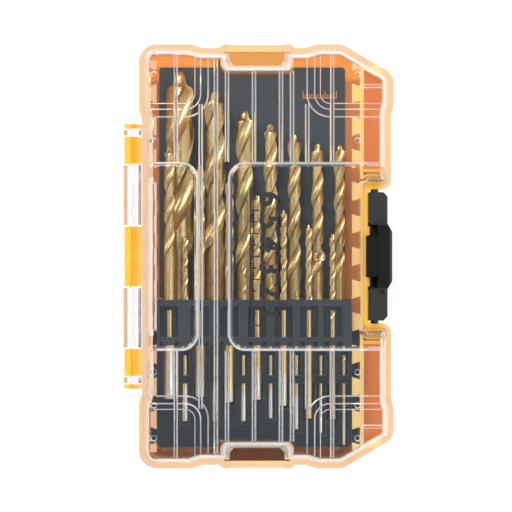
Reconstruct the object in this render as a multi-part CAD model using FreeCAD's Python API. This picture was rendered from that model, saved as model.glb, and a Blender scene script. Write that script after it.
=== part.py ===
import FreeCAD, Part
import math
import os

V = FreeCAD.Vector
os.makedirs("parts", exist_ok=True)

# Drawing frame: X = 0 on the lid's middle rib, Y = 0 at mid length, Z = 0 on the table.
# Every size is in millimetres.

# Shell seen from above
case_length = 186.0
rim_left = 50.5
rim_right = 61.2
left_step = 1.4
right_step = 1.1
bulge_length = 33.0
bulge_run = 4.5
edge_dip = 1.6
dip_outer_x = 27.6
dip_inner_x = 22.6
bump_left_x = -13.6
bump_right_x = 16.4
bump_run = 1.6
chamfer_width = 22.3
chamfer_drop = 13.3
corner_radius = 8.0
bulge_shift = 2.0
bulge_radius = 4.0
recess_radius = 2.5
recess_mouth_radius = 3.5
chamfer_side_radius = 6.0
chamfer_end_radius = 7.0
dip_radius = 3.0
bump_radius = 0.8
least_radius = 0.3
side_share = 0.48

# Shell sections
base_depth = 25.0
lid_height = 15.0
base_wall = 1.6
base_floor = 2.0
lid_wall = 1.6
lid_plate = 1.8
rim_overhang = 1.8
rim_thickness = 2.5
parting_gap = 0.2
edge_break = 0.8
lid_draft = 2.0
lid_edge_break = 1.8
foot_band = 4.0
foot_recess = 0.8
partition_drop = 1.0
root_sink = 0.2
cut_margin = 1.0

# Finger notches at both ends of the lid
notch_left_x = -13.2
notch_right_x = 15.9
notch_depth = 9.6
notch_radius = 2.6
notch_mouth_radius = 2.0
lid_notch_side = 2.9
lid_notch_end = 0.9
ledge_drop = 8.0
ledge_thickness = 1.6
ledge_lip = 3.0

# Toothed side rails
slot_count = 12
slot_mouth = 5.8
slot_root = 7.9
rail_depth = 2.7
right_rail_depth = 3.4
rail_drop = 4.0
rail_end_margin = 6.6
partition_x = 46.7
cross_wall_y = 37.0

# Hinge
hinge_offset = 4.4
knuckle_radius = 3.6
loop_radius = 4.0
hinge_pin_radius = 1.3
running_clearance = 0.05
hinge_gap = 0.7
centre_knuckle_half = 13.1
hinge_margin = 2.0
end_knuckle_length = 11.7
lug_length = 2.4
cap_length = 1.8
pin_inner_y = 3.5
loop_web = 3.4
web_gap = 0.2
pin_end_gap = 0.4

# Latch
recess_half = 29.6
recess_depth = 10.0
lid_recess_extra = 1.5
lid_recess_lean = 0.25
lid_recess_rim = 0.4
latch_gap = 0.4
axle_setback = 3.6
axle_height = 12.0
axle_radius = 1.8
axle_end_gap = 0.5
bore_end_gap = 0.1
arm_width = 8.2
arm_length = 14.4
arm_rise = 2.2
arm_end_gap = 1.0
arm_edge = 1.2
arm_corner = 1.9
paddle_half = 14.6
paddle_depth = 6.3
paddle_rise = 6.0
paddle_overhang = 1.9
paddle_corner_run = 3.8
hook_half = 9.0
hook_reach = 0.9
hook_height = 5.1
hook_gap = 0.9
hook_clearance = 0.3
hook_brace = 2.0
hook_overlap = 0.5
bridge_setback = 1.3
bridge_drop = 2.0
bridge_thickness = 2.6
bridge_hole_radius = 0.9
bridge_hole_y = 12.4
lug_width = 3.8
lug_reach = 0.8
lug_height = 8.0
latch_chamfer = 2.4
press_clearance = 0.02

# Lid top relief
rib_width = 2.0
rib_height = 1.6
rib_offsets = (11.7, 16.5, 23.1, 33.9)
window_half = 41.0
window_sink = 2.0
window_side = 1.9
band_left_x = -24.1
band_right_x = -11.3
window_radius = 7.5
pad_levels = ((5.6, 0.3), (2.4, 0.7), (0.0, 1.1))
pad_left_x = 24.3
pad_right_x = 27.5
pad_length = 28.0
pad_radius = 5.5
pad_slope = 1.5
pad_sink = 0.4
pad_edge_gap = 0.2
cross_rib_setback = 19.2
rib_end_gap = 0.3
rib_overlap = 1.0
frame_x = (-3.3, 12.8)
frame_half = 32.8
frame_line = 0.8
frame_height = 0.6
frame_radius = 2.0
gate_x = 28.6
gate_radius = 2.6
gate_height = 1.0
gate_top_radius = 1.6
gate_dimple_radius = 0.9
gate_dimple_depth = 0.7
peg_radius = 1.3
peg_length = 5.0
peg_wall_gap = 0.1
peg_partition_gap = 0.3
peg_slots = (0, 2, 9, 10, 11)
spine_half = 31.5
spine_drop = 0.2

# Holder
holder_end_margin = 8.5
holder_length = 65.3
upper_tier_length = 20.0
middle_tier_length = 16.9
upper_tier_top = 24.0
middle_tier_top = 21.4
lower_tier_top = 18.8
holder_gap = 0.3
bore_clearance = 0.1
end_clearance = 0.6
upper_well_depth = 2.8
middle_well_depth = 2.2
upper_well_half = 4.2
middle_well_half = 2.1
slit_width = 1.7
small_slit_width = 1.2
small_slit_margin = 2.0
bar_length = 2.6
slit_margin = 4.6
clip_length = 3.5
pocket_depth = 1.6
small_pocket_depth = 0.6
pocket_half = 2.9
small_pocket_half = 2.1
pocket_tail = 0.8
tier_overlap = 3.0
holder_radius = 2.0
core_wall = 2.0
core_roof = 3.0
tab_drop = 2.0

# Backing card
card_thickness = 0.5
card_top_margin = 4.6
card_corner = 1.4
card_side_gap = 1.8

# Large bits reach up to the far end: diameter, room left beyond the tip, plain shank length,
# depth of the shank in the holder
inch = 25.4
large_bits = (
    (inch / 2, 10.2, 72.4, 50.4),
    (inch * 3 / 8, 19.0, 51.0, 33.8),
    (inch * 5 / 16, 27.8, 42.3, 29.9),
    (inch / 4, 33.8, 35.6, 23.2),
    (inch * 15 / 64, 38.5, 32.4, 24.7),
    (inch * 7 / 32, 42.6, 32.2, 25.6),
    (inch * 13 / 64, 43.0, 30.1, 22.9),
)

# Other bits: diameter, length, fluted length, depth of the shank in the holder
medium_bits = (
    (inch * 3 / 16, 111.6, 50.0, 43.9),
    (inch * 11 / 64, 102.8, 47.0, 43.1),
    (inch * 5 / 32, 99.1, 45.0, 45.2),
    (inch * 9 / 64, 90.6, 42.0, 44.2),
    (inch / 8, 86.6, 40.0, 46.8),
    (inch / 8, 85.9, 40.0, 52.5),
    (inch * 7 / 64, 82.0, 41.0, 52.7),
)
small_bits = (
    (inch * 7 / 64, 81.6, 34.0, 53.8),
    (inch * 3 / 32, 74.0, 32.0, 53.8),
    (inch * 3 / 32, 69.6, 30.0, 53.8),
    (inch * 5 / 64, 64.0, 28.0, 52.4),
    (inch * 5 / 64, 62.9, 28.0, 57.3),
    (inch / 16, 60.5, 27.0, 58.8),
    (inch / 16, 62.0, 27.0, 64.2),
)
large_first_x = -33.1
large_spacing = 4.5
column_first_x = -37.4
column_pitch = 6.85
column_shrink = 0.152
bit_lift = 0.4
layer_gap = 0.5
small_drop = 1.0
turned_shank = 9.5
helix_pitch_ratio = 6.2
shank_relief = 0.05
flute_radius_ratio = 0.84
flute_centre_ratio = 1.04
flute_runout_ratio = 0.75
runout_start = 0.12
sections_per_turn = 10
least_sections = 6
point_ratio = 0.7
point_steps = ((1.0, 0.0), (0.52, 0.22), (0.46, 0.45))
tip_ratio = 0.08
shank_edge_ratio = 0.12
shank_taper_ratio = 0.4

# Values that follow from the sizes above
end_y = case_length / 2
left_mid = rim_left - left_step
right_mid = rim_right - right_step
recess_x = right_mid - recess_depth
notch_y = end_y - notch_depth
bulge_start_y = end_y - bulge_length
pad_edge_y = end_y - pad_length
slot_pitch = 2 * (end_y - rail_end_margin) / slot_count
hinge_half = bulge_start_y - hinge_margin
end_group = end_knuckle_length + lug_length + cap_length + 4 * hinge_gap
loop_length = hinge_half - centre_knuckle_half - end_group
wall_inset = rim_overhang + base_wall
left_inner_x = -left_mid + wall_inset
rail_left_x = left_inner_x + rail_depth
rail_right_x = partition_x - right_rail_depth
rail_top = base_depth - rail_drop
tab_top = rail_top - tab_drop
hinge_x = -left_mid - hinge_offset
hinge_z = base_depth
lid_under = base_depth + parting_gap
lid_top = base_depth + lid_height
plate_top = lid_top - rib_height
plate_under = plate_top - lid_plate
window_floor = plate_top - window_sink
axle_x = recess_x + axle_setback
axle_half = cross_wall_y - axle_end_gap
arm_inner_x = recess_x + latch_gap
arm_outer_x = arm_inner_x + arm_width
arm_end_y = recess_half - latch_gap - arm_end_gap
arm_start_y = arm_end_y - arm_length
paddle_out_x = arm_outer_x + paddle_overhang
paddle_x = paddle_out_x - paddle_depth
bridge_x = arm_inner_x + bridge_setback
hook_x = recess_x - hook_reach
lid_recess_x = hook_x - hook_gap
lid_recess_half = recess_half + lid_recess_extra
lid_lean = lid_draft + lid_edge_break
holder_end_y = -end_y + holder_end_margin
holder_front_y = holder_end_y + holder_length
card_top = base_floor + card_thickness
large_z = card_top + bit_lift + large_bits[0][0] / 2
medium_z = large_z + large_bits[0][0] / 2 + layer_gap + medium_bits[0][0] / 2
small_z = medium_z - small_drop
shift_x = -(rim_right + hinge_x - loop_radius) / 2


def box(x0, x1, y0, y1, z0, z1):
    """Box between two corners."""
    return Part.makeBox(x1 - x0, y1 - y0, z1 - z0, V(x0, y0, z0))


def rod(x, z, radius, y0, y1):
    """Cylinder along Y."""
    return Part.makeCylinder(radius, y1 - y0, V(x, y0, z), V(0, 1, 0))


def joined(first, others):
    """One shape from several, without seams on flat faces."""
    return first.fuse(others).removeSplitter()


def inset(points, distance):
    """Move every side of a closed outline inward; points are (x, y, corner radius)."""
    count = len(points)
    moved = []
    for i in range(count):
        before = points[i - 1]
        here = points[i]
        after = points[(i + 1) % count]
        d1 = V(here[0] - before[0], here[1] - before[1], 0).normalize()
        d2 = V(after[0] - here[0], after[1] - here[1], 0).normalize()
        turn = d1.x * d2.y - d1.y * d2.x
        # Both sides move along their left normals, and the corner along the sum of them.
        share = distance / (1 + d1.dot(d2))
        x = here[0] - share * (d1.y + d2.y)
        y = here[1] + share * (d1.x + d2.x)
        radius = here[2] - distance if turn > 0 else here[2] + distance
        moved.append((x, y, max(radius, least_radius)))
    return moved


def outline(points, z):
    """Closed wire with rounded corners."""
    count = len(points)
    corners = []
    for i in range(count):
        here = V(points[i][0], points[i][1], z)
        back = V(points[i - 1][0], points[i - 1][1], z) - here
        forth = V(points[(i + 1) % count][0], points[(i + 1) % count][1], z) - here
        half = back.getAngle(forth) / 2
        reach = points[i][2] / math.tan(half)
        reach = min(reach, side_share * back.Length, side_share * forth.Length)
        u = V(back).normalize()
        w = V(forth).normalize()
        radius = reach * math.tan(half)
        middle = V(u + w).normalize() * (radius / math.sin(half) - radius)
        corners.append((here + u * reach, here + middle, here + w * reach))
    edges = []
    for i in range(count):
        start, middle, stop = corners[i]
        following = corners[(i + 1) % count][0]
        edges.append(Part.Arc(start, middle, stop).toShape())
        edges.append(Part.makeLine(stop, following))
    return Part.Wire(edges)


def prism(points, z0, z1):
    """Upright solid on a rounded outline."""
    return Part.Face(outline(points, z0)).extrude(V(0, 0, z1 - z0))


def tapered(points0, z0, points1, z1):
    """Solid between two outlines with the same corners."""
    return Part.makeLoft([outline(points0, z0), outline(points1, z1)], True, True)


def rounded_box(x0, x1, y0, y1, radius, z0, z1):
    """Box with rounded upright edges."""
    points = [(x0, y0, radius), (x1, y0, radius), (x1, y1, radius), (x0, y1, radius)]
    return prism(points, z0, z1)


def mirrored(half):
    """Whole outline from its upper half, listed from right to left."""
    return half + [(x, -y, r) for x, y, r in reversed(half)]


def upper_half(recess, middle_part):
    """Upper half of a shell outline; the recess is its line and half length."""
    low = end_y - edge_dip
    right = [
        (recess[0], recess[1], recess_radius),
        (right_mid, recess[1], recess_mouth_radius),
        (right_mid, bulge_start_y + bulge_shift, bulge_radius),
        (rim_right, bulge_start_y + bulge_shift + bulge_run, bulge_radius),
        (rim_right, end_y - chamfer_drop, chamfer_side_radius),
        (rim_right - chamfer_width, end_y, chamfer_end_radius),
        (dip_outer_x, end_y, dip_radius),
        (dip_inner_x, low, dip_radius),
    ]
    left = [
        (-dip_inner_x, low, dip_radius),
        (-dip_outer_x, end_y, dip_radius),
        (-rim_left, end_y, corner_radius),
        (-rim_left, bulge_start_y + bulge_run, bulge_radius),
        (-left_mid, bulge_start_y, bulge_radius),
    ]
    return right + middle_part + left


def rim_points(recess):
    """Outline of a rim with the given latch recess."""
    low = end_y - edge_dip
    bump = [
        (bump_right_x + bump_run, low, bump_radius),
        (bump_right_x, end_y, bump_radius),
        (bump_left_x, end_y, bump_radius),
        (bump_left_x - bump_run, low, bump_radius),
    ]
    return mirrored(upper_half(recess, bump))


def notched_walls(recess, left, right, end, distance):
    """Outline of walls with a finger notch at both ends, set in from the rim by a distance."""
    low = end_y - edge_dip
    notch = [
        (right - rim_overhang, low, notch_mouth_radius),
        (right - rim_overhang, end + rim_overhang, notch_radius),
        (left + rim_overhang, end + rim_overhang, notch_radius),
        (left + rim_overhang, low, notch_mouth_radius),
    ]
    return inset(mirrored(upper_half(recess, notch)), distance)


def wall_points(depth):
    """Outline of the base's walls, set in from their outer face by a depth."""
    recess = (recess_x, recess_half)
    return notched_walls(recess, notch_left_x, notch_right_x, notch_y, rim_overhang + depth)


def lid_wall_points(depth, lean):
    """Outline of the lid's walls, set in by a depth and by the wall's lean at that height."""
    distance = rim_overhang + depth + lean
    recess_line = lid_recess_x - lid_recess_rim - depth - lid_recess_lean * lean
    recess = (recess_line + distance, lid_recess_half)
    return notched_walls(recess, notch_left_x + lid_notch_side, notch_right_x - lid_notch_side,
                         notch_y + lid_notch_end, distance)


def slot_y(k):
    """Middle of a rail slot, counted from the top end."""
    return ((slot_count - 1) / 2 - k) * slot_pitch


def slot_prism(wall_x, tip_x, y, slack, z0, z1):
    """Dovetail slot of a rail, smaller all round by the slack."""
    root = slot_root / 2 - slack
    mouth = slot_mouth / 2 - slack
    corners = [
        V(wall_x, y - root, z0),
        V(wall_x, y + root, z0),
        V(tip_x, y + mouth, z0),
        V(tip_x, y - mouth, z0),
    ]
    face = Part.Face(Part.makePolygon(corners + corners[:1]))
    return face.extrude(V(0, 0, z1 - z0))


def hinge_spans():
    """Y ranges of the hinge from the middle outward: base, lid, base, lid, base."""
    spans = [(-centre_knuckle_half, centre_knuckle_half)]
    y = centre_knuckle_half
    for length in (loop_length, end_knuckle_length, lug_length, cap_length):
        spans.append((y + hinge_gap, y + hinge_gap + length))
        y = y + hinge_gap + length
    return spans


def both_sides(spans):
    """The same Y ranges above and below the middle."""
    return list(spans) + [(-b, -a) for a, b in spans]


def pin_bores(spans):
    """Bores for both hinge pins through everything on the hinge line."""
    radius = hinge_pin_radius + running_clearance
    start = pin_inner_y - hinge_gap
    stop = spans[-1][1] + cut_margin
    return [rod(hinge_x, hinge_z, radius, a, b) for a, b in both_sides([(start, stop)])]


def make_base():
    """Lower half: tub, rim, rails, partition, ledges and hinge knuckles."""
    outer = prism(wall_points(0), edge_break, base_depth)
    foot = tapered(wall_points(edge_break), 0, wall_points(0), edge_break)
    outer = joined(outer, [foot])
    rim = prism(rim_points((recess_x, recess_half)), base_depth - rim_thickness, base_depth)
    ledge_z = base_depth - ledge_drop
    additions = [rim]
    pockets = []
    for side in (1, -1):
        y0, y1 = sorted((side * (notch_y - base_wall / 2), side * (end_y - rim_overhang / 2)))
        additions.append(box(notch_left_x, notch_right_x, y0, y1, ledge_z - ledge_thickness, base_depth))
        y0, y1 = sorted((side * notch_y, side * (end_y - ledge_lip)))
        pockets.append(box(notch_left_x, notch_right_x, y0, y1, ledge_z, base_depth + cut_margin))
    cavity = prism(wall_points(base_wall), base_floor, base_depth + cut_margin)
    body = joined(outer, additions).cut(pockets + [cavity])

    partition_top = base_depth - partition_drop
    inner = [box(partition_x, recess_x - rim_overhang, -end_y, end_y, 0, partition_top)]
    for side in (1, -1):
        y0, y1 = sorted((side * cross_wall_y, side * (cross_wall_y + base_wall)))
        inner.append(box(partition_x, rim_right, y0, y1, 0, partition_top))
    rail_half = end_y - rail_end_margin
    left_rail = box(-rim_left, rail_left_x, -rail_half, rail_half, 0, rail_top)
    right_rail = box(rail_right_x, partition_x + base_wall / 2, -rail_half, rail_half, 0, rail_top)
    slots = []
    for k in range(slot_count):
        slots.append(slot_prism(left_inner_x, rail_left_x, slot_y(k), 0, base_floor, rail_top))
        slots.append(slot_prism(partition_x, rail_right_x, slot_y(k), 0, base_floor, rail_top))
    rails = left_rail.fuse(right_rail).cut(slots)
    inner = [shape.common(outer) for shape in inner] + [rails.common(outer)]

    spans = hinge_spans()
    hinge = []
    for y0, y1 in [spans[0]] + both_sides([spans[2], spans[4]]):
        hinge.append(rod(hinge_x, hinge_z, knuckle_radius, y0, y1))
        web_x = -left_mid + rim_overhang + base_wall / 2
        hinge.append(box(hinge_x, web_x, y0, y1, hinge_z - knuckle_radius, hinge_z))
    lugs = []
    for y0, y1 in both_sides([(hook_half + latch_gap, hook_half + latch_gap + lug_width)]):
        lugs.append(box(recess_x - base_wall, recess_x + lug_reach, y0, y1,
                        base_depth - lug_height, base_depth))
    body = joined(body, inner + hinge + lugs)

    cuts = pin_bores(spans)
    bore = axle_radius + running_clearance
    for y0, y1 in both_sides([(recess_half, cross_wall_y - bore_end_gap)]):
        cuts.append(rod(axle_x, axle_height, bore, y0, y1))
    cuts.append(prism(wall_points(foot_band), -cut_margin, foot_recess))
    return body.cut(cuts).removeSplitter()


def rib(x, y0, y1, z0, z1):
    """Rib along Y with a rounded top."""
    radius = rib_width / 2
    foot_left = V(x - radius, y0, z0)
    foot_right = V(x + radius, y0, z0)
    top_left = V(x - radius, y0, z1 - radius)
    top_right = V(x + radius, y0, z1 - radius)
    edges = [
        Part.makeLine(foot_right, foot_left),
        Part.makeLine(foot_left, top_left),
        Part.Arc(top_left, V(x, y0, z1), top_right).toShape(),
        Part.makeLine(top_right, foot_right),
    ]
    return Part.Face(Part.Wire(edges)).extrude(V(0, y1 - y0, 0))


def corner_pads(growth, height):
    """Raised pads with sloped sides on the four corners of the lid."""
    z0 = plate_top - pad_sink
    z1 = plate_top + height
    area = prism(lid_wall_points(0, lid_lean + pad_edge_gap), z0, z1)
    y0 = pad_edge_y - growth
    far = case_length
    radius = pad_radius + growth
    pads = []
    for x0, x1 in ((pad_right_x - growth, far), (-far, -pad_left_x + growth)):
        for y1, y2 in both_sides([(y0, far)]):
            foot = [(x0, y1, radius), (x1, y1, radius), (x1, y2, radius), (x0, y2, radius)]
            pads.append(tapered(foot, z0, inset(foot, pad_slope), z1).common(area))
    return pads


def window_cut(x0, x1):
    """Sunk window with sloped sides."""
    mouth = [(x, y, window_radius) for x, y in
             ((x0, -window_half), (x1, -window_half), (x1, window_half), (x0, window_half))]
    sunk = tapered(inset(mouth, window_side), window_floor, mouth, plate_top)
    return sunk.fuse(prism(mouth, plate_top, lid_top + cut_margin))


def gate_mark():
    """Shallow cone with a dimple where the plastic was let into the mould."""
    foot = V(gate_x, 0, window_floor - root_sink)
    cone = Part.makeCone(gate_radius, gate_top_radius, gate_height + root_sink, foot)
    dimple_foot = V(gate_x, 0, window_floor + gate_height - gate_dimple_depth)
    return cone.cut(Part.makeCylinder(gate_dimple_radius, gate_height, dimple_foot))


def lid_ribs():
    """Ribs on the lid: along the case, some over its full length, and short cross ribs."""
    z0 = plate_top - root_sink
    end_margin = rim_overhang + lid_lean + rib_end_gap
    notch_stop = notch_y + lid_notch_end - lid_lean - rib_end_gap
    dip_stop = end_y - edge_dip - end_margin
    corner_stop = end_y - end_margin
    pad_stop = pad_edge_y + rib_overlap
    ribs = []
    for y0, y1 in both_sides([(window_half, notch_stop)]):
        for x in (0, -rib_offsets[0], rib_offsets[0], rib_offsets[1]):
            ribs.append(rib(x, y0, y1, z0, lid_top))
    for y0, y1 in both_sides([(window_half, corner_stop)]):
        for x in (-rib_offsets[3], rib_offsets[3]):
            ribs.append(rib(x, y0, y1, z0, lid_top))
    for y0, y1 in both_sides([(window_half, pad_stop)]):
        ribs.append(rib(rib_offsets[2], y0, y1, z0, lid_top))
    ribs.append(rib(-rib_offsets[1], -dip_stop, dip_stop, z0, lid_top))
    ribs.append(rib(-rib_offsets[2], -pad_stop, pad_stop, z0, lid_top))
    for side in (1, -1):
        cross = rib(0, partition_x, rim_right - end_margin, z0, lid_top)
        cross.rotate(V(0, 0, 0), V(0, 0, 1), -90)
        ribs.append(cross.translated(V(0, side * (end_y - cross_rib_setback), 0)))
    return ribs


def make_lid():
    """Clear lid: rim, leaning walls, top plate with its relief, hinge loops."""
    crown_z = plate_top - lid_edge_break
    shell = tapered(lid_wall_points(0, 0), lid_under, lid_wall_points(0, lid_draft), crown_z)
    crown = tapered(lid_wall_points(0, lid_draft), crown_z, lid_wall_points(0, lid_lean), plate_top)
    rim = prism(rim_points((lid_recess_x, lid_recess_half)), lid_under, lid_under + rim_thickness)
    clear = []
    for side in (1, -1):
        y0, y1 = sorted((side * (notch_y + lid_notch_end), side * case_length))
        left = notch_left_x + lid_notch_side
        right = notch_right_x - lid_notch_side
        clear.append(box(left, right, y0, y1, lid_under - cut_margin, lid_top))
    outer = joined(shell, [crown])
    mouth = prism(lid_wall_points(lid_wall, 0), lid_under - cut_margin, lid_under)
    hollow = tapered(lid_wall_points(lid_wall, 0), lid_under,
                     lid_wall_points(lid_wall, lid_draft), plate_under)
    body = joined(outer, [rim.cut(clear)]).cut(mouth.fuse(hollow))

    # The windows run out through the side walls, so their floors close the walls' tops.
    far = case_length
    sunk = []
    backing = []
    for x0, x1 in ((-far, band_left_x), (band_right_x, far)):
        sunk.append(window_cut(x0, x1))
        slab = box(x0, x1, -window_half, window_half, window_floor - lid_plate, plate_under)
        backing.append(slab.common(outer))
    raised = []
    for growth, height in pad_levels:
        raised += corner_pads(growth, height)
    body = joined(body, backing + raised + lid_ribs()).cut(sunk)

    frame_foot = window_floor - root_sink
    frame_top = window_floor + frame_height
    left, right = frame_x
    frame = rounded_box(left, right, -frame_half, frame_half, frame_radius, frame_foot, frame_top)
    inside = frame_half - frame_line
    hollow = rounded_box(left + frame_line, right - frame_line, -inside, inside,
                         frame_radius - frame_line, window_floor, frame_top)
    extras = [frame.cut(hollow), gate_mark()]
    spine_x = -left_mid + rim_overhang + lid_draft + rib_width
    extras.append(rib(spine_x, -spine_half, spine_half, frame_foot, plate_top - spine_drop))
    peg_columns = (left_inner_x + lid_draft + peg_wall_gap, partition_x - peg_radius - peg_partition_gap)
    for k in peg_slots:
        for x in peg_columns:
            foot = V(x, slot_y(k), plate_under - peg_length)
            extras.append(Part.makeCylinder(peg_radius, peg_length + root_sink, foot))

    spans = hinge_spans()
    web_x = -left_mid + rim_overhang + lid_wall / 2
    for y0, y1 in both_sides([spans[1], spans[3]]):
        extras.append(rod(hinge_x, hinge_z, loop_radius, y0, y1))
        extras.append(box(hinge_x, web_x, y0, y1, lid_under + web_gap, lid_under + web_gap + loop_web))
    body = joined(body, extras)
    return body.cut(pin_bores(spans)).removeSplitter()


def make_hinge_pin(side):
    """One hinge pin, above or below the middle."""
    stop = hinge_spans()[-1][1] - pin_end_gap
    y0, y1 = sorted((side * pin_inner_y, side * stop))
    return rod(hinge_x, hinge_z, hinge_pin_radius, y0, y1)


def side_profile(corners, y0, y1):
    """Solid along Y from (x, z) corners."""
    points = [V(x, y0, z) for x, z in corners]
    return Part.Face(Part.makePolygon(points + points[:1])).extrude(V(0, y1 - y0, 0))


def corner_trim(corner, along, across):
    """Upright wedge that cuts a corner off, from the corner along both of its sides."""
    points = [corner, corner + along, corner + across, corner]
    return Part.Face(Part.makePolygon(points)).extrude(V(0, 0, lid_top + cut_margin))


def latch_arm(y0, y1):
    """One arm of the latch, with its outer corners cut."""
    top = base_depth + arm_rise
    c = latch_chamfer
    arm = side_profile([
        (arm_inner_x, axle_height),
        (arm_outer_x - c, axle_height),
        (arm_outer_x, axle_height + c),
        (arm_outer_x, top - arm_edge),
        (arm_outer_x - arm_edge, top),
        (arm_inner_x + arm_edge / 2, top),
        (arm_inner_x, top - arm_edge / 2),
    ], y0, y1)
    outer_y = max(y0, y1, key=abs)
    inner_y = min(y0, y1, key=abs)
    side = math.copysign(arm_corner, outer_y)
    outer = corner_trim(V(arm_outer_x, outer_y, 0), V(-arm_corner, 0, 0), V(0, -side, 0))
    inner = corner_trim(V(arm_inner_x, inner_y, axle_height + c), V(arm_corner, 0, 0), V(0, side, 0))
    return arm.cut([outer, inner])


def latch_hook():
    """Hook in the middle of the latch, above the base's rim."""
    low = base_depth + hook_clearance
    high = low + hook_height
    edge = latch_chamfer / 2
    return side_profile([
        (hook_x, low),
        (arm_inner_x, low),
        (paddle_x + hook_overlap, low - hook_brace),
        (paddle_x + hook_overlap, high),
        (hook_x + edge, high),
        (hook_x, high - edge),
    ], -hook_half, hook_half)


def latch_bridge(y0, y1):
    """Plate with a round hole between an arm, the hook and the paddle."""
    top = base_depth - bridge_drop
    foot = top - bridge_thickness
    plate = box(bridge_x, paddle_x + hook_overlap, y0, y1, foot, top)
    y = math.copysign(bridge_hole_y, y0)
    x = (bridge_x + paddle_x) / 2
    return plate.cut(Part.makeCylinder(bridge_hole_radius, bridge_thickness, V(x, y, foot)))


def make_latch():
    """Latch: two arms on the axle, a paddle between them and a hook over the base rim."""
    barrel = axle_x - arm_inner_x
    paddle_top = base_depth + paddle_rise
    c = latch_chamfer
    paddle = side_profile([
        (axle_x, axle_height - barrel),
        (paddle_out_x - 2 * c, axle_height - barrel),
        (paddle_out_x - c, axle_height),
        (paddle_out_x - c, (axle_height + paddle_top) / 2),
        (paddle_out_x, paddle_top - c),
        (paddle_out_x - c / 2, paddle_top),
        (paddle_x, paddle_top),
        (paddle_x, axle_height + barrel),
        (axle_x, axle_height + barrel),
    ], -paddle_half, paddle_half)
    trims = []
    for side in (1, -1):
        corner = V(paddle_out_x, side * paddle_half, 0)
        trims.append(corner_trim(corner, V(-c, 0, 0), V(0, -side * paddle_corner_run, 0)))
    solids = [latch_hook(), rod(axle_x, axle_height, barrel, -paddle_half, paddle_half)]
    for y0, y1 in both_sides([(arm_start_y, arm_end_y)]):
        solids.append(rod(axle_x, axle_height, barrel, y0, y1))
        solids.append(latch_arm(y0, y1))
    for y0, y1 in both_sides([(hook_half - hook_overlap, arm_start_y + arm_end_gap)]):
        solids.append(latch_bridge(y0, y1))
    body = joined(paddle.cut(trims), solids)
    bore = rod(axle_x, axle_height, axle_radius + press_clearance, -case_length, case_length)
    return body.cut(bore).removeSplitter()


def make_axle():
    """Latch axle."""
    return rod(axle_x, axle_height, axle_radius, -axle_half, axle_half)


def column_x(k):
    """Column of the holder, counted from the left; the columns close up to the right."""
    return column_first_x + k * column_pitch - column_shrink * k * (k - 1) / 2


def bit_places():
    """Name, sizes and place of every bit: x, z and the Y of its shank end."""
    places = []
    kinds = (("bit_medium", medium_bits, 0, medium_z), ("bit_small", small_bits, 1, small_z))
    x = large_first_x
    for i, (diameter, tip_room, plain, depth) in enumerate(large_bits):
        if i:
            x += (large_bits[i - 1][0] + diameter) / 2 + large_spacing
        length = end_y - tip_room - holder_front_y + depth
        flutes = length - plain
        shank = min(diameter - shank_relief, turned_shank)
        places.append((f"bit_large_{i + 1}", diameter, length, flutes, shank, x, large_z, depth))
    for kind, rows, offset, z in kinds:
        for i, (diameter, length, flutes, depth) in enumerate(rows):
            shank = diameter - shank_relief
            x = column_x(2 * i + offset)
            places.append((f"{kind}_{i + 1}", diameter, length, flutes, shank, x, z, depth))
    return places


def holder_tabs(y):
    """Tabs of the holder in the slots of both rails."""
    tabs = []
    mouth = slot_mouth / 2 - holder_gap
    for wall, tip, side in ((left_inner_x, rail_left_x, 1), (partition_x, rail_right_x, -1)):
        reach = tip + side * holder_gap
        tabs.append(slot_prism(wall + side * holder_gap, tip, y, holder_gap, base_floor, tab_top))
        tabs.append(box(min(tip, reach), max(tip, reach), y - mouth, y + mouth, base_floor, tab_top))
    return tabs


def medium_cuts(x, z, radius, tail, y_upper, y_middle):
    """Wells, clip, slit, channel and end pocket round a medium bit in the holder."""
    above = upper_tier_top + cut_margin
    well_floor = upper_tier_top - upper_well_depth
    clip_y = y_upper + clip_length
    cuts = [
        box(x - upper_well_half, x + upper_well_half, clip_y, holder_front_y - bar_length, well_floor, above),
        box(x - slit_width / 2, x + slit_width / 2, clip_y, holder_front_y - slit_margin, z, above),
        box(x - radius, x + radius, tail, y_upper, z, above),
        box(x - pocket_half, x + pocket_half, tail - pocket_tail, y_middle,
            lower_tier_top - pocket_depth, above),
    ]
    for x0, x1 in ((x - upper_well_half, x - radius), (x + radius, x + upper_well_half)):
        cuts.append(box(x0, x1, y_upper - cut_margin, y_upper + clip_length / 2, well_floor, above))
    return cuts


def small_cuts(x, z, tail, y_upper, y_middle):
    """Well, slits and end pocket round a small bit in the holder."""
    above = upper_tier_top + cut_margin
    well_floor = middle_tier_top - middle_well_depth
    slit = small_slit_width / 2
    clip_y = y_middle + clip_length
    stop_y = y_upper - bar_length
    return [
        box(x - middle_well_half, x + middle_well_half, clip_y, stop_y, well_floor, above),
        box(x - slit, x + slit, clip_y, stop_y - small_slit_margin, z, above),
        box(x - slit, x + slit, tail, y_middle, z, above),
        box(x - small_pocket_half, x + small_pocket_half, tail - pocket_tail, y_middle,
            lower_tier_top - small_pocket_depth, above),
    ]


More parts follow.
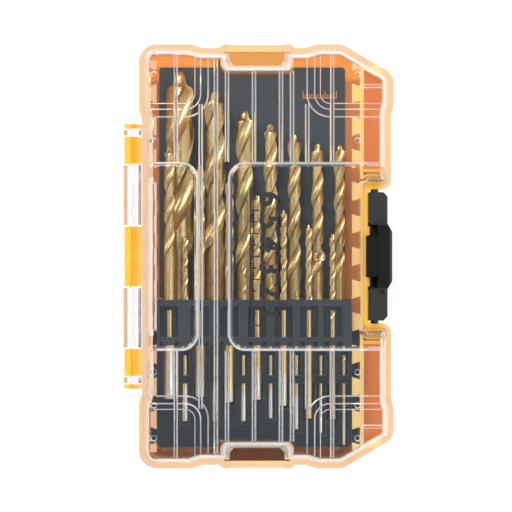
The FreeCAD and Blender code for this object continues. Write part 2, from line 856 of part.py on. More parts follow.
def make_holder():
    """Holder: three tiers with bores, slits and open channels, and tabs in the rails."""
    x0 = rail_left_x + holder_gap
    x1 = rail_right_x - holder_gap
    y_upper = holder_front_y - upper_tier_length
    y_middle = y_upper - middle_tier_length
    tiers = [
        box(x0, x1, y_upper, holder_front_y, base_floor, upper_tier_top),
        box(x0, x1, y_middle, y_upper, base_floor, middle_tier_top),
        rounded_box(x0, x1, holder_end_y, y_middle + tier_overlap, holder_radius, base_floor, lower_tier_top),
    ]
    tabs = []
    for k in range(slot_count):
        if holder_end_y + slot_root / 2 < slot_y(k) < holder_front_y - slot_root / 2:
            tabs += holder_tabs(slot_y(k))
    body = joined(tiers[0], tiers[1:] + tabs)

    cuts = []
    for name, diameter, length, flutes, shank, x, z, depth in bit_places():
        radius = shank / 2 + bore_clearance
        tail = holder_front_y - depth - end_clearance
        cuts.append(rod(x, z, radius, tail, holder_front_y + cut_margin))
        if name.startswith("bit_medium"):
            cuts += medium_cuts(x, z, radius, tail, y_upper, y_middle)
        if name.startswith("bit_small"):
            cuts += small_cuts(x, z, tail, y_upper, y_middle)
    core_y = holder_front_y - max(row[3] for row in large_bits) - core_wall
    gap = base_wall + 2 * holder_gap
    wall_y = -notch_y + gap
    cuts.append(box(notch_left_x - gap, notch_right_x + gap, holder_end_y - cut_margin, wall_y,
                    0, base_depth))
    cuts.append(box(x0 + core_wall, x1 - core_wall, wall_y + core_wall, core_y,
                    base_floor - cut_margin, small_z - core_roof))
    return body.cut(cuts).removeSplitter()


def make_card():
    """Backing card on the floor between the rails, above the holder."""
    x0 = rail_left_x + holder_gap
    x1 = rail_right_x - 2 * holder_gap - card_side_gap
    y0 = holder_front_y + holder_gap
    y1 = end_y - wall_inset - card_top_margin
    sheet = rounded_box(x0, x1, y0, y1, card_corner, base_floor, card_top)
    gap = base_wall + holder_gap
    relief = box(notch_left_x - gap, notch_right_x + gap, notch_y - gap, case_length, 0, base_depth)
    return sheet.cut(relief)


def flute_section(radius, share, angle, z):
    """Section of a two-flute bit; the share runs from shallow flutes (0) to full ones (1)."""
    flute_radius = flute_radius_ratio * radius
    centre = (flute_centre_ratio + flute_runout_ratio * (1 - share)) * radius
    half = math.acos((radius ** 2 + centre ** 2 - flute_radius ** 2) / (2 * radius * centre))

    def at(distance, a):
        return V(distance * math.cos(a + angle), distance * math.sin(a + angle), z)

    edges = []
    for side in (0, math.pi):
        edges.append(Part.Arc(at(radius, side - half), at(centre - flute_radius, side),
                              at(radius, side + half)).toShape())
        edges.append(Part.Arc(at(radius, side + half), at(radius, side + math.pi / 2),
                              at(radius, side + math.pi - half)).toShape())
    return Part.Wire(edges)


def make_bit(diameter, length, flutes, shank, x, z, depth):
    """Twist drill bit along Y with a stepped pilot point."""
    radius = diameter / 2
    pitch = helix_pitch_ratio * diameter
    start = length - flutes
    shoulder = length - point_ratio * diameter

    def turn(height):
        return 2 * math.pi * (height - start) / pitch

    count = max(least_sections, math.ceil((shoulder - start) / pitch * sections_per_turn))
    wires = []
    for i in range(count + 1):
        height = start + (shoulder - start) * i / count
        share = min(1.0, runout_start + (1 - runout_start) * (height - start) / diameter)
        wires.append(flute_section(radius, share, turn(height), height))
    body = Part.makeLoft(wires, True, False)
    steps = [(r * radius, shoulder + h * diameter) for r, h in point_steps]
    steps.append((tip_ratio * radius, length))
    point = Part.makeLoft([flute_section(r, 1.0, turn(h), h) for r, h in steps], True, True)
    edge = shank_edge_ratio * shank
    corners = [
        V(0, 0, 0),
        V(shank / 2 - edge, 0, 0),
        V(shank / 2, 0, edge),
        V(shank / 2, 0, start - shank_taper_ratio * radius),
        V(radius, 0, start),
        V(0, 0, start),
    ]
    stem = Part.Face(Part.makePolygon(corners + corners[:1])).revolve(V(0, 0, 0), V(0, 0, 1), 360)
    bit = joined(stem, [body, point])
    bit.rotate(V(0, 0, 0), V(1, 0, 0), -90)
    bit.translate(V(x, holder_front_y - depth, z))
    return bit


def save(name, shape):
    """Write one piece as a single solid in the shared frame."""
    solid = shape.Solids[0]
    print(name, "solids", len(shape.Solids), "valid", solid.isValid(), "volume", round(solid.Volume, 1))
    solid.translated(V(shift_x, 0, 0)).exportStep(f"parts/{name}.step")


save("base_shell", make_base())
save("lid_shell", make_lid())
save("hinge_pin_upper", make_hinge_pin(1))
save("hinge_pin_lower", make_hinge_pin(-1))
save("latch_body", make_latch())
save("latch_axle", make_axle())
save("bit_holder", make_holder())
save("backing_card", make_card())
for place in bit_places():
    save(place[0], make_bit(*place[1:]))
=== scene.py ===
import math

import bmesh
import bpy
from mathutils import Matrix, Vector


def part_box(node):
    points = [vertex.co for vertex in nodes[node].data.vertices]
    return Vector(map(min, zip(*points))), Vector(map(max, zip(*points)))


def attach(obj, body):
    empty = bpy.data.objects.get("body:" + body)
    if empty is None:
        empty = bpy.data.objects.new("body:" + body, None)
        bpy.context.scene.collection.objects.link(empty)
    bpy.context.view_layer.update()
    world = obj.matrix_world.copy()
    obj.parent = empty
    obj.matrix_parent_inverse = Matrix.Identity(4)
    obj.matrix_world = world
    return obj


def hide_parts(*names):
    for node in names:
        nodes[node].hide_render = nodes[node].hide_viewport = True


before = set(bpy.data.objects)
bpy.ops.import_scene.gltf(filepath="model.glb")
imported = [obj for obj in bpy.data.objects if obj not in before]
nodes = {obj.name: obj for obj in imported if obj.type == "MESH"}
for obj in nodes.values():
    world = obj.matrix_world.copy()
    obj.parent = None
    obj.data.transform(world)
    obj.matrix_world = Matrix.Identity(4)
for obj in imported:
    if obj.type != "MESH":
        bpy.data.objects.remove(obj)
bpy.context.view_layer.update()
scene = bpy.context.scene

MM = 0.001
INCH = 25.4
# The CAD's drawing frame has X = 0 on the lid's middle rib; the row frame is this far from it (mm).
SHIFT_X = -1.85


# Shader nodes shared by the materials

# Sockets of the Mix node, whose names repeat
MIX_SHARE = 0
MIX_VALUES = (2, 3)
MIX_VALUE = 0
MIX_COLOURS = (6, 7)
MIX_COLOUR = 2
# Upward part of the normal on a face that counts as flat and on one that counts as upright
FLAT_NORMAL = 0.999
UPRIGHT_NORMAL = 0.88
# Match of a rounded normal with the face's own, on the face and at the middle of an edge
FACE_MATCH = 0.99
EDGE_MATCH = 0.80
EDGE_SAMPLES = 6
# Noise values at which a mottled colour reaches its two ends
MOTTLE = (0.3, 0.7)


def material(name):
    """New node material: returns it, its node tree and its Principled shader."""
    mat = bpy.data.materials.new(name)
    mat.use_nodes = True
    tree = mat.node_tree
    return mat, tree, tree.nodes["Principled BSDF"]


def ramp(tree, source, stops):
    """Colour ramp on a value; stops are (place, colour)."""
    node = tree.nodes.new("ShaderNodeValToRGB")
    elements = node.color_ramp.elements
    while len(elements) < len(stops):
        elements.new(0.5)
    for element, (place, colour) in zip(elements, stops):
        element.position = place
        element.color = (*colour, 1.0)
    tree.links.new(source, node.inputs["Fac"])
    return node.outputs["Color"]


def mottled(tree, source, tones, ends=MOTTLE):
    """Colour that wanders between two tones with a noise value."""
    return ramp(tree, source, list(zip(ends, tones)))


def position(tree, scale=(1, 1, 1)):
    """Object coordinates, stretched."""
    coords = tree.nodes.new("ShaderNodeTexCoord")
    mapping = tree.nodes.new("ShaderNodeMapping")
    mapping.inputs["Scale"].default_value = scale
    tree.links.new(coords.outputs["Object"], mapping.inputs["Vector"])
    return mapping.outputs["Vector"]


def noise(tree, vector, scale, detail=4.0, rough=0.55):
    """Noise value."""
    node = tree.nodes.new("ShaderNodeTexNoise")
    node.inputs["Scale"].default_value = scale
    node.inputs["Detail"].default_value = detail
    node.inputs["Roughness"].default_value = rough
    tree.links.new(vector, node.inputs["Vector"])
    return node.outputs["Fac"]


def bump(tree, shader, height, strength, distance):
    """Bump on the shader's normal; the distance is in mm."""
    node = tree.nodes.new("ShaderNodeBump")
    node.inputs["Strength"].default_value = strength
    node.inputs["Distance"].default_value = distance * MM
    tree.links.new(height, node.inputs["Height"])
    tree.links.new(node.outputs["Normal"], shader.inputs["Normal"])


def spread(tree, source, low, high):
    """Value mapped from 0..1 to low..high."""
    node = tree.nodes.new("ShaderNodeMapRange")
    node.inputs["To Min"].default_value = low
    node.inputs["To Max"].default_value = high
    tree.links.new(source, node.inputs["Value"])
    return node.outputs["Result"]


def outside(tree, share):
    """1 where a share is 0, and 0 where it is 1."""
    return spread(tree, share, 1.0, 0.0)


def overlap(tree, *shares):
    """Product of shares: 1 where all of them are 1."""
    product = shares[0]
    for share in shares[1:]:
        node = tree.nodes.new("ShaderNodeMath")
        node.operation = "MULTIPLY"
        tree.links.new(product, node.inputs[0])
        tree.links.new(share, node.inputs[1])
        product = node.outputs[0]
    return product


def steepness(tree):
    """0 on faces that lie flat in the piece's own frame, 1 on upright ones."""
    coords = tree.nodes.new("ShaderNodeTexCoord")
    split = tree.nodes.new("ShaderNodeSeparateXYZ")
    tree.links.new(coords.outputs["Normal"], split.inputs["Vector"])
    upward = tree.nodes.new("ShaderNodeMath")
    upward.operation = "ABSOLUTE"
    tree.links.new(split.outputs["Z"], upward.inputs[0])
    steep = tree.nodes.new("ShaderNodeMapRange")
    steep.interpolation_type = "SMOOTHSTEP"
    steep.inputs["From Min"].default_value = FLAT_NORMAL
    steep.inputs["From Max"].default_value = UPRIGHT_NORMAL
    tree.links.new(upward.outputs[0], steep.inputs["Value"])
    return steep.outputs["Result"]


def edge_highlight(tree, width):
    """1 along edges and 0 on the faces between them, to place painted edge highlights; the width is in mm.
    """
    rounded = tree.nodes.new("ShaderNodeBevel")
    rounded.samples = EDGE_SAMPLES
    rounded.inputs["Radius"].default_value = width * MM
    surface = tree.nodes.new("ShaderNodeNewGeometry")
    match = tree.nodes.new("ShaderNodeVectorMath")
    match.operation = "DOT_PRODUCT"
    tree.links.new(rounded.outputs["Normal"], match.inputs[0])
    tree.links.new(surface.outputs["Normal"], match.inputs[1])
    edge_share = tree.nodes.new("ShaderNodeMapRange")
    edge_share.inputs["From Min"].default_value = FACE_MATCH
    edge_share.inputs["From Max"].default_value = EDGE_MATCH
    tree.links.new(match.outputs["Value"], edge_share.inputs["Value"])
    return edge_share.outputs["Result"]


def axis_share(tree, axis, start, stop):
    """0 to 1 along an axis of the piece's own frame, between two places in mm."""
    split = tree.nodes.new("ShaderNodeSeparateXYZ")
    tree.links.new(position(tree), split.inputs["Vector"])
    share = tree.nodes.new("ShaderNodeMapRange")
    share.interpolation_type = "SMOOTHSTEP"
    share.inputs["From Min"].default_value = start * MM
    share.inputs["From Max"].default_value = stop * MM
    tree.links.new(split.outputs[axis], share.inputs["Value"])
    return share.outputs["Result"]


def inside_box(tree, low_x, high_x, half_y, blur):
    """1 inside a rectangle of the piece's own frame, 0 outside it; sizes in mm."""
    left = axis_share(tree, "X", low_x - blur, low_x)
    right = axis_share(tree, "X", high_x + blur, high_x)
    near = axis_share(tree, "Y", -half_y - blur, -half_y)
    far = axis_share(tree, "Y", half_y + blur, half_y)
    return overlap(tree, left, right, near, far)


def blend_colour(tree, share, first, second):
    """Mix of two colours, sockets or plain values."""
    mix = tree.nodes.new("ShaderNodeMix")
    mix.data_type = "RGBA"
    tree.links.new(share, mix.inputs[MIX_SHARE])
    for socket, colour in zip(MIX_COLOURS, (first, second)):
        if isinstance(colour, tuple):
            mix.inputs[socket].default_value = (*colour, 1)
        else:
            tree.links.new(colour, mix.inputs[socket])
    return mix.outputs[MIX_COLOUR]


def pick(tree, share, first, second):
    """Value between two values, sockets or plain numbers."""
    mix = tree.nodes.new("ShaderNodeMix")
    tree.links.new(share, mix.inputs[MIX_SHARE])
    for socket, value in zip(MIX_VALUES, (first, second)):
        if isinstance(value, float):
            mix.inputs[socket].default_value = value
        else:
            tree.links.new(value, mix.inputs[socket])
    return mix.outputs[MIX_VALUE]


# Clear plastic of the lid and the hinge pins

CLEAR_TINT = (0.99, 0.99, 0.99)
CLEAR_IOR = 1.49
CLEAR_ROUGHNESS = (0.012, 0.030)
# Flow waves are drawn out along the case
FLOW_STRETCH = (1.0, 0.35, 1.0)
# Transmission of a clear face and of one that is white all through
CLEAR_TRANSMISSION = (0.994, -0.006)
# Painted highlight on upright faces, zone by zone: diffuse white that stands in for the light that steep
# clear faces gather
WINDOW_HIGHLIGHT = 0.06
PLATE_HIGHLIGHT = 0.45
PEG_HIGHLIGHT = 0.40
RIB_HIGHLIGHT = 0.34
WALL_HIGHLIGHT = 0.26
HINGE_WALL_HIGHLIGHT = 0.06
LATCH_WALL_HIGHLIGHT = 0.04
# Whiteness of the grip bar, and the painted highlight round the pegs' rims, on all faces
GRIP_WHITE = 0.30
PEG_RIM_HIGHLIGHT = 0.98
# Where the zones begin and end, in mm; a box is low X, high X, half its length in Y, and its blur
PLATE_RISE = (37.2, 37.5)
PEG_DROP = (36.2, 35.8)
RIB_RISE = (38.35, 38.5)
HINGE_WALL_REACH = (-43.0, -46.0)
LID_TOP_BOX = (-43.5, 46.5, 80.5, 1.5)
LATCH_STEP_BOX = (43.5, 58.0, 39.0, 0.5)
GRIP_BOX = (-48.1, -45.7, 34.3, 0.3)
GRIP_RISE = (27.0, 29.0)
PEG_FOOT_RISE = (30.0, 30.4)
PEG_FOOT_DROP = (33.0, 32.4)
PEG_RIM_WIDTH = 0.80


def clear_plastic():
    """Moulded clear plastic: faint flow waves, a painted highlight on steep faces and round the pegs' rims,
    as diffuse white for the light they gather, and a whitish grip bar.
    """
    mat, tree, shader = material("clear_plastic")
    shader.inputs["Base Color"].default_value = (*CLEAR_TINT, 1)
    shader.inputs["IOR"].default_value = CLEAR_IOR
    # Painted highlight: upright faces turn diffuse white, zone by zone, for the light they gather
    top = spread(tree, axis_share(tree, "Z", *PLATE_RISE), WINDOW_HIGHLIGHT, PLATE_HIGHLIGHT)
    top = pick(tree, axis_share(tree, "Z", *PEG_DROP), top, PEG_HIGHLIGHT)
    top = pick(tree, axis_share(tree, "Z", *RIB_RISE), top, RIB_HIGHLIGHT)
    walls = spread(tree, axis_share(tree, "X", *HINGE_WALL_REACH), WALL_HIGHLIGHT, HINGE_WALL_HIGHLIGHT)
    zone = pick(tree, inside_box(tree, *LID_TOP_BOX), walls, top)
    zone = pick(tree, inside_box(tree, *LATCH_STEP_BOX), zone, LATCH_WALL_HIGHLIGHT)
    grip = overlap(tree, inside_box(tree, *GRIP_BOX), axis_share(tree, "Z", *GRIP_RISE))
    whiteness = pick(tree, grip, overlap(tree, steepness(tree), zone), GRIP_WHITE)
    # Painted highlight along the rims round the pegs' feet
    peg_foot = overlap(tree, axis_share(tree, "Z", *PEG_FOOT_RISE), axis_share(tree, "Z", *PEG_FOOT_DROP))
    peg_rim = overlap(tree, peg_foot, edge_highlight(tree, PEG_RIM_WIDTH))
    whiteness = pick(tree, peg_rim, whiteness, PEG_RIM_HIGHLIGHT)
    clearness = spread(tree, whiteness, *CLEAR_TRANSMISSION)
    tree.links.new(clearness, shader.inputs["Transmission Weight"])
    fine = noise(tree, position(tree), scale=900.0, detail=3.0)
    tree.links.new(spread(tree, fine, *CLEAR_ROUGHNESS), shader.inputs["Roughness"])
    flow = noise(tree, position(tree, FLOW_STRETCH), scale=60.0, detail=2.0)
    bump(tree, shader, flow, strength=0.012, distance=0.6)
    return mat


# Amber plastic of the base

AMBER_IOR = 1.46
AMBER_TRANSMISSION = 0.45
AMBER_ROUGHNESS = (0.08, 0.18)
# Colours that wander between two tones: painted shade low down, painted light higher up and on the rim
AMBER_SHADED_LOW = ((0.82, 0.33, 0.068), (0.90, 0.39, 0.084))
AMBER_LIT_HIGH = ((0.96, 0.76, 0.32), (0.98, 0.82, 0.39))
AMBER_RIM_LIT = ((0.86, 0.58, 0.33), (0.89, 0.63, 0.39))
# Colours of single places: the pockets, the floor beside the card and the near strip carry painted shade,
# the near ledge and the gap by the notch painted shadow
RAIL_COLOUR = (0.80, 0.58, 0.40)
POCKET_SHADE_COLOUR = (0.68, 0.262, 0.088)
FAR_LEDGE_COLOUR = (0.60, 0.30, 0.09)
NEAR_LEDGE_SHADOW_COLOUR = (0.06, 0.02, 0.015)
CROSS_WALL_COLOUR = (0.97, 0.56, 0.09)
BESIDE_CARD_SHADE_COLOUR = (0.43, 0.20, 0.090)
NOTCH_SHADOW_COLOUR = (0.035, 0.030, 0.030)
NEAR_STRIP_SHADE_COLOUR = (0.16, 0.06, 0.035)
LATCH_END_COLOUR = (0.32, 0.045, 0.02)
HINGE_COLOUR = (0.99, 0.66, 0.04)
HINGE_STRIPE_COLOUR = (0.96, 0.47, 0.05)
# Past both ends of the case, in mm
FAR = 100.0
# Where the places begin and end, in mm, with boxes as above
AMBER_LIT_RISE = (3.0, 20.0)
RIM_RISE = (20.0, 22.0)
INSIDE_RIM_BOX = (-46.5, 53.5, 83.5, 1.0)
RAIL_REACH = (-43.8, -44.6)
RAIL_RISE = (12.0, 18.0)
POCKET_REACH = (45.6, 46.4)
POCKET_DROP = (16.0, 4.0)
LEDGE_RISE = (16.5, 16.9)
LEDGE_DROP = (23.0, 21.0)
NOTCH_BOX = (-15.2, 14.2, 90.1, 0.3)
FAR_NOTCH_REACH = (82.0, 83.0)
NEAR_NOTCH_REACH = (-82.0, -83.0)
CROSS_WALL_BOX = (46.0, 54.0, 39.4, 0.3)
CROSS_WALL_RISE = (20.0, 23.0)
FLOOR_RISE = (1.0, 1.6)
FLOOR_DROP = (6.0, 4.0)
CARD_BOX = (-43.9, 38.3, FAR, 0.5)
RAILS_BOX = (-50.0, 44.5, 78.0, 3.0)
NOTCH_SHADOW_BOX = (-19.0, 14.5, FAR, 0.5)
NOTCH_SHADOW_REACH = (79.0, 80.0)
NEAR_STRIP_SHADE_REACH = (-83.0, -84.0)
LATCH_CELL_BOX = (46.0, 55.0, 36.9, 0.2)
LATCH_CELL_DROP = (24.4, 23.0)
LATCH_BOX = (40.0, 60.0, 31.0, 0.4)
HINGE_REACH = (-51.0, -52.6)
HINGE_STRIPE_BOX = (-55.6, -53.6, FAR, 0.7)


def amber_places(tree):
    """Places of the base that get a colour of their own, several of them painted shade and shadow, as
    (share, colour), each over those before it.
    """
    rail = overlap(tree, axis_share(tree, "X", *RAIL_REACH), axis_share(tree, "Z", *RAIL_RISE))
    # Painted shade deep in the side pockets
    pocket_shade = overlap(tree, axis_share(tree, "X", *POCKET_REACH), axis_share(tree, "Z", *POCKET_DROP))
    ledge = overlap(tree, axis_share(tree, "Z", *LEDGE_RISE), axis_share(tree, "Z", *LEDGE_DROP),
                    inside_box(tree, *NOTCH_BOX))
    far_ledge = overlap(tree, axis_share(tree, "Y", *FAR_NOTCH_REACH), ledge)
    # Painted shadow on the near ledge, beside the dark holder
    near_ledge_shadow = overlap(tree, axis_share(tree, "Y", *NEAR_NOTCH_REACH), ledge)
    cross_wall = overlap(tree, inside_box(tree, *CROSS_WALL_BOX), axis_share(tree, "Z", *CROSS_WALL_RISE))
    floor_face = overlap(tree, axis_share(tree, "Z", *FLOOR_RISE), axis_share(tree, "Z", *FLOOR_DROP),
                         outside(tree, steepness(tree)))
    # Painted shade on the floor beside the card
    beside_card_shade = overlap(tree, floor_face, outside(tree, inside_box(tree, *CARD_BOX)),
                          inside_box(tree, *RAILS_BOX))
    # Painted shadow in the gap under the notch wall
    notch_shadow = overlap(tree, floor_face, inside_box(tree, *NOTCH_SHADOW_BOX),
                       axis_share(tree, "Y", *NOTCH_SHADOW_REACH))
    # Painted shade on the floor strip at the near end
    near_strip_shade = overlap(tree, floor_face, axis_share(tree, "Y", *NEAR_STRIP_SHADE_REACH))
    latch_end = overlap(tree, inside_box(tree, *LATCH_CELL_BOX), axis_share(tree, "Z", *LATCH_CELL_DROP),
                        outside(tree, inside_box(tree, *LATCH_BOX)))
    return [
        (rail, RAIL_COLOUR),
        (pocket_shade, POCKET_SHADE_COLOUR),
        (far_ledge, FAR_LEDGE_COLOUR),
        (near_ledge_shadow, NEAR_LEDGE_SHADOW_COLOUR),
        (cross_wall, CROSS_WALL_COLOUR),
        (beside_card_shade, BESIDE_CARD_SHADE_COLOUR),
        (notch_shadow, NOTCH_SHADOW_COLOUR),
        (near_strip_shade, NEAR_STRIP_SHADE_COLOUR),
        (latch_end, LATCH_END_COLOUR),
        (axis_share(tree, "X", *HINGE_REACH), HINGE_COLOUR),
        (inside_box(tree, *HINGE_STRIPE_BOX), HINGE_STRIPE_COLOUR),
    ]


def amber_plastic():
    """Translucent amber plastic: red-orange painted shade low down, pale painted light higher up, where
    thick edges pass light upward, and a peach painted light on the rim, for the backdrop seen through it.
    """
    mat, tree, shader = material("amber_plastic")
    cloud = noise(tree, position(tree), scale=35.0, detail=3.0)
    # Painted shade low down and painted light higher up, by height
    colour = blend_colour(tree, axis_share(tree, "Z", *AMBER_LIT_RISE), mottled(tree, cloud, AMBER_SHADED_LOW),
                          mottled(tree, cloud, AMBER_LIT_HIGH))
    # Painted light on the rim
    rim = overlap(tree, axis_share(tree, "Z", *RIM_RISE), outside(tree, inside_box(tree, *INSIDE_RIM_BOX)))
    colour = blend_colour(tree, rim, colour, mottled(tree, cloud, AMBER_RIM_LIT))
    for share, own_colour in amber_places(tree):
        colour = blend_colour(tree, share, colour, own_colour)
    tree.links.new(colour, shader.inputs["Base Color"])
    shader.inputs["Transmission Weight"].default_value = AMBER_TRANSMISSION
    shader.inputs["IOR"].default_value = AMBER_IOR
    fine = noise(tree, position(tree), scale=700.0, detail=3.0)
    tree.links.new(spread(tree, fine, *AMBER_ROUGHNESS), shader.inputs["Roughness"])
    bump(tree, shader, fine, strength=0.06, distance=0.3)
    return mat


# Dark materials: rubber holder, card, latch and axle

# Cool sheen of rubber and card
COOL_SHEEN = (0.84, 0.93, 1.0, 1.0)
RUBBER_SHADED_LOW = ((0.005, 0.008, 0.012), (0.009, 0.013, 0.018))
RUBBER_LIT_HIGH = ((0.020, 0.025, 0.030), (0.028, 0.034, 0.039))
RUBBER_EDGE_HIGHLIGHT = (0.085, 0.095, 0.105)
RUBBER_HIGHLIGHT_WIDTH = 0.35
RUBBER_LIT_RISE = (21.8, 23.6)
RUBBER_GLOSS = 0.32
RUBBER_ROUGHNESS = (0.48, 0.68)
CARD_TONES = ((0.014, 0.020, 0.028), (0.021, 0.028, 0.037))
CARD_ROUGHNESS = (0.45, 0.65)
# Fibres of the card lie across the case
FIBRE_STRETCH = (1.0, 4.0, 1.0)
LATCH_TONES = ((0.004, 0.0045, 0.0045), (0.034, 0.036, 0.036))
LATCH_GLOSS = 0.14
AXLE_TONES = ((0.030, 0.034, 0.040), (0.045, 0.050, 0.056))
AXLE_GLOSS = 0.35
BLACK_ROUGHNESS = (0.34, 0.5)
# How much of the paler tone shows in the middle of a black piece
BLACK_CLOUD = (0.0, 0.2)
# Where the paler ends of a black piece begin, from its middle (mm)
PALE_END_REACH = (13.4, 14.4)
MIDDLE_BLUR = 1.0


def soft_rubber():
    """Dark rubber with a fine matt grain, with painted shade on its lower faces, painted light on its
    highest faces and a painted highlight along its edges.
    """
    mat, tree, shader = material("holder_rubber")
    cloud = noise(tree, position(tree), scale=60.0, detail=5.0)
    shader.inputs["Specular IOR Level"].default_value = RUBBER_GLOSS
    shader.inputs["Specular Tint"].default_value = COOL_SHEEN
    # Painted shade on the low faces and painted light on the highest ones
    colour = blend_colour(tree, axis_share(tree, "Z", *RUBBER_LIT_RISE), mottled(tree, cloud, RUBBER_SHADED_LOW),
                          mottled(tree, cloud, RUBBER_LIT_HIGH))
    # Painted highlight along the edges
    colour = blend_colour(tree, edge_highlight(tree, RUBBER_HIGHLIGHT_WIDTH), colour, RUBBER_EDGE_HIGHLIGHT)
    tree.links.new(colour, shader.inputs["Base Color"])
    fine = noise(tree, position(tree), scale=1800.0)
    tree.links.new(spread(tree, fine, *RUBBER_ROUGHNESS), shader.inputs["Roughness"])
    bump(tree, shader, fine, strength=0.25, distance=0.2)
    return mat


def coated_card():
    """Dark grey coated card with faint fibres."""
    mat, tree, shader = material("card_grey")
    fibres = noise(tree, position(tree, FIBRE_STRETCH), scale=500.0, detail=6.0, rough=0.7)
    shader.inputs["Specular Tint"].default_value = COOL_SHEEN
    tree.links.new(mottled(tree, fibres, CARD_TONES), shader.inputs["Base Color"])
    tree.links.new(spread(tree, fibres, *CARD_ROUGHNESS), shader.inputs["Roughness"])
    bump(tree, shader, fibres, strength=0.15, distance=0.2)
    return mat


def black_plastic(name, tones, gloss):
    """Moulded satin plastic with a spark-eroded grain, paler towards both ends than in the middle."""
    mat, tree, shader = material(name)
    dark_tone, pale_tone = tones
    start, stop = PALE_END_REACH
    cloud = noise(tree, position(tree), scale=120.0)
    far_half = axis_share(tree, "Y", -MIDDLE_BLUR, MIDDLE_BLUR)
    near_end = axis_share(tree, "Y", -start, -stop)
    far_end = axis_share(tree, "Y", start, stop)
    ends = pick(tree, far_half, near_end, far_end)
    colour = blend_colour(tree, spread(tree, cloud, *BLACK_CLOUD), dark_tone, pale_tone)
    colour = blend_colour(tree, ends, colour, pale_tone)
    tree.links.new(colour, shader.inputs["Base Color"])
    shader.inputs["Specular IOR Level"].default_value = gloss
    tree.links.new(spread(tree, cloud, *BLACK_ROUGHNESS), shader.inputs["Roughness"])
    grain = noise(tree, position(tree), scale=2600.0, detail=3.0)
    bump(tree, shader, grain, strength=0.2, distance=0.15)
    return mat


# Gold-coated steel of the bits

GOLD_TONES = ((0.45, 0.325, 0.145), (0.71, 0.55, 0.285))
STEEL_TONES = ((0.52, 0.50, 0.47), (0.68, 0.66, 0.63))
STREAK_ENDS = (0.25, 0.75)
# Grinding streaks run round the bit
STREAK_STRETCH = (1.0, 9.0, 1.0)
STEEL_ROUGHNESS = (0.22, 0.38)
# Height of the waves in the coating's lower edge, and its blur, in mm
COATING_WAVE = 4.0
COATING_BLUR = 1.5


def coated_steel(name, change_y):
    """Gold-coated steel that turns to bare steel below the height change_y, in mm."""
    mat, tree, shader = material(name)
    place = position(tree)
    split = tree.nodes.new("ShaderNodeSeparateXYZ")
    tree.links.new(place, split.inputs["Vector"])
    wave = noise(tree, place, scale=400.0, detail=3.0)
    height = tree.nodes.new("ShaderNodeMath")
    height.operation = "MULTIPLY_ADD"
    height.inputs[1].default_value = COATING_WAVE * MM
    tree.links.new(wave, height.inputs[0])
    tree.links.new(split.outputs["Y"], height.inputs[2])
    middle = change_y + COATING_WAVE / 2
    share = tree.nodes.new("ShaderNodeMapRange")
    share.inputs["From Min"].default_value = (middle - COATING_BLUR) * MM
    share.inputs["From Max"].default_value = (middle + COATING_BLUR) * MM
    tree.links.new(height.outputs[0], share.inputs["Value"])
    streak = noise(tree, position(tree, STREAK_STRETCH), scale=420.0)
    gold = mottled(tree, streak, GOLD_TONES, STREAK_ENDS)
    steel = mottled(tree, streak, STEEL_TONES, STREAK_ENDS)
    tree.links.new(blend_colour(tree, share.outputs["Result"], steel, gold), shader.inputs["Base Color"])
    shader.inputs["Metallic"].default_value = 1.0
    tree.links.new(spread(tree, streak, *STEEL_ROUGHNESS), shader.inputs["Roughness"])
    bump(tree, shader, streak, strength=0.08, distance=0.1)
    return mat


# CAD nodes that keep their shape

# Rounding of the edges, in mm
HOLDER_EDGE = 0.25
LATCH_EDGE = 0.35
EDGE_SEGMENTS = 2
# Angles in degrees: faces that differ by less are one flat face, edges that turn by more are rounded
FLAT_ANGLE = 0.4
SHARP_ANGLE = 30


def dress(node, mat):
    """Give a CAD node one material."""
    obj = nodes[node]
    obj.data.materials.clear()
    obj.data.materials.append(mat)
    return obj


def soften(obj, width):
    """Rounded edges on a CAD node, as a modifier; the width is in mm."""
    flat = obj.modifiers.new("merge_flat", "DECIMATE")
    flat.decimate_type = "DISSOLVE"
    flat.angle_limit = math.radians(FLAT_ANGLE)
    bevel = obj.modifiers.new("round_edges", "BEVEL")
    bevel.width = width * MM
    bevel.segments = EDGE_SEGMENTS
    bevel.limit_method = "ANGLE"
    bevel.angle_limit = math.radians(SHARP_ANGLE)
    bevel.use_clamp_overlap = True
    bevel.harden_normals = True


clear = clear_plastic()
lid = dress("lid_shell", clear)
upper_pin = dress("hinge_pin_upper", clear)
lower_pin = dress("hinge_pin_lower", clear)
base = dress("base_shell", amber_plastic())
holder = dress("bit_holder", soft_rubber())
dress("backing_card", coated_card())
latch = dress("latch_body", black_plastic("latch_black", LATCH_TONES, LATCH_GLOSS))
dress("latch_axle", black_plastic("axle_grey", AXLE_TONES, AXLE_GLOSS))
soften(holder, HOLDER_EDGE)
soften(latch, LATCH_EDGE)

# Clear and translucent pieces pass the light on, and the holder isn't mirrored in the bits
for piece in (lid, upper_pin, lower_pin):
    piece.visible_shadow = False
    piece.visible_diffuse = False
base.visible_shadow = False
holder.visible_glossy = False


# Drill bits, lofted ring by ring with margins, flute run-out and a stepped point

